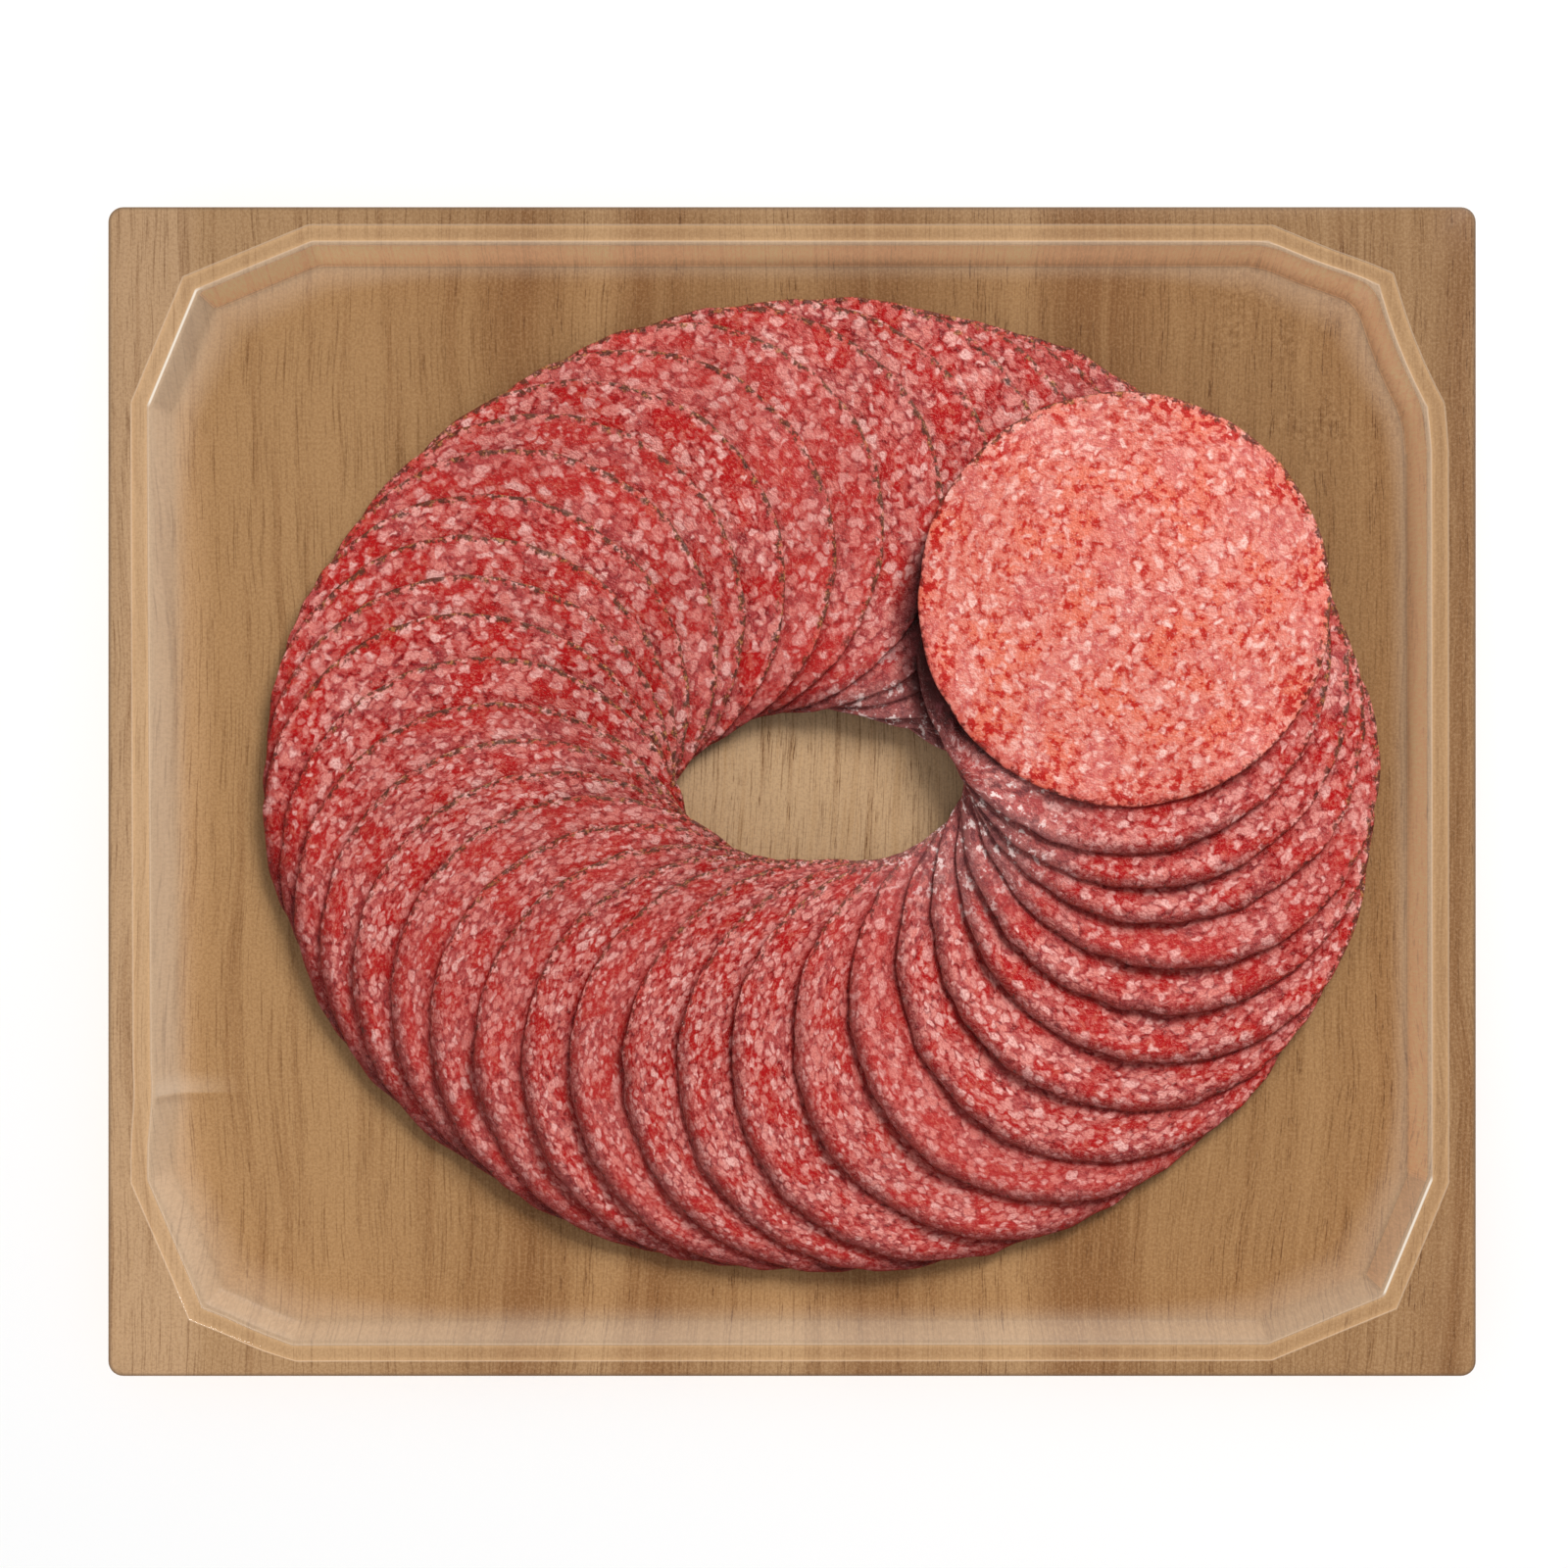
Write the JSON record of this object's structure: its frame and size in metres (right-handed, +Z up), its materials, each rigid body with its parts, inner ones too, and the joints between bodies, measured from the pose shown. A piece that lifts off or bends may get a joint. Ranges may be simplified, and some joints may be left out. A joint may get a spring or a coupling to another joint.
{
  "type": "sealed pack of sliced salami",
  "caption": "Round slices of cured sausage fanned in an overlapping ring, sealed in a shallow wood-grain tray under clear film.",
  "frame": {"origin": "middle of the pack's underside, on the surface that it lies on", "axes": "+X along the pack's longer side, +Y along its shorter side, +Z up through the clear film; the top slice lies towards +X and +Y"},
  "size_m": [0.248, 0.212, 0.0135],
  "materials": {
    "printed_film": "wood-grain print on formed film, satin",
    "clear_film": "clear and glossy",
    "salami": "moist cut meat with pale fat grains"
  },
  "bodies": {
    "root": {"tray": "printed_film", "top_film": "clear_film", "slice_01": "salami", "slice_02": "salami", "slice_03": "salami", "slice_04": "salami", "slice_05": "salami", "slice_06": "salami", "slice_07": "salami", "slice_08": "salami", "slice_09": "salami", "slice_10": "salami", "slice_11": "salami", "slice_12": "salami", "slice_13": "salami", "slice_14": "salami", "slice_15": "salami", "slice_16": "salami", "slice_17": "salami", "slice_18": "salami", "slice_19": "salami", "slice_20": "salami", "slice_21": "salami", "slice_22": "salami", "slice_23": "salami", "slice_24": "salami", "slice_25": "salami", "slice_26": "salami", "slice_27": "salami", "slice_28": "salami", "slice_29": "salami", "slice_30": "salami", "slice_31": "salami", "slice_32": "salami", "slice_33": "salami", "slice_34": "salami", "slice_35": "salami", "slice_36": "salami", "slice_37": "salami", "slice_38": "salami", "slice_39": "salami", "slice_40": "salami"}
  },
  "joints": []
}
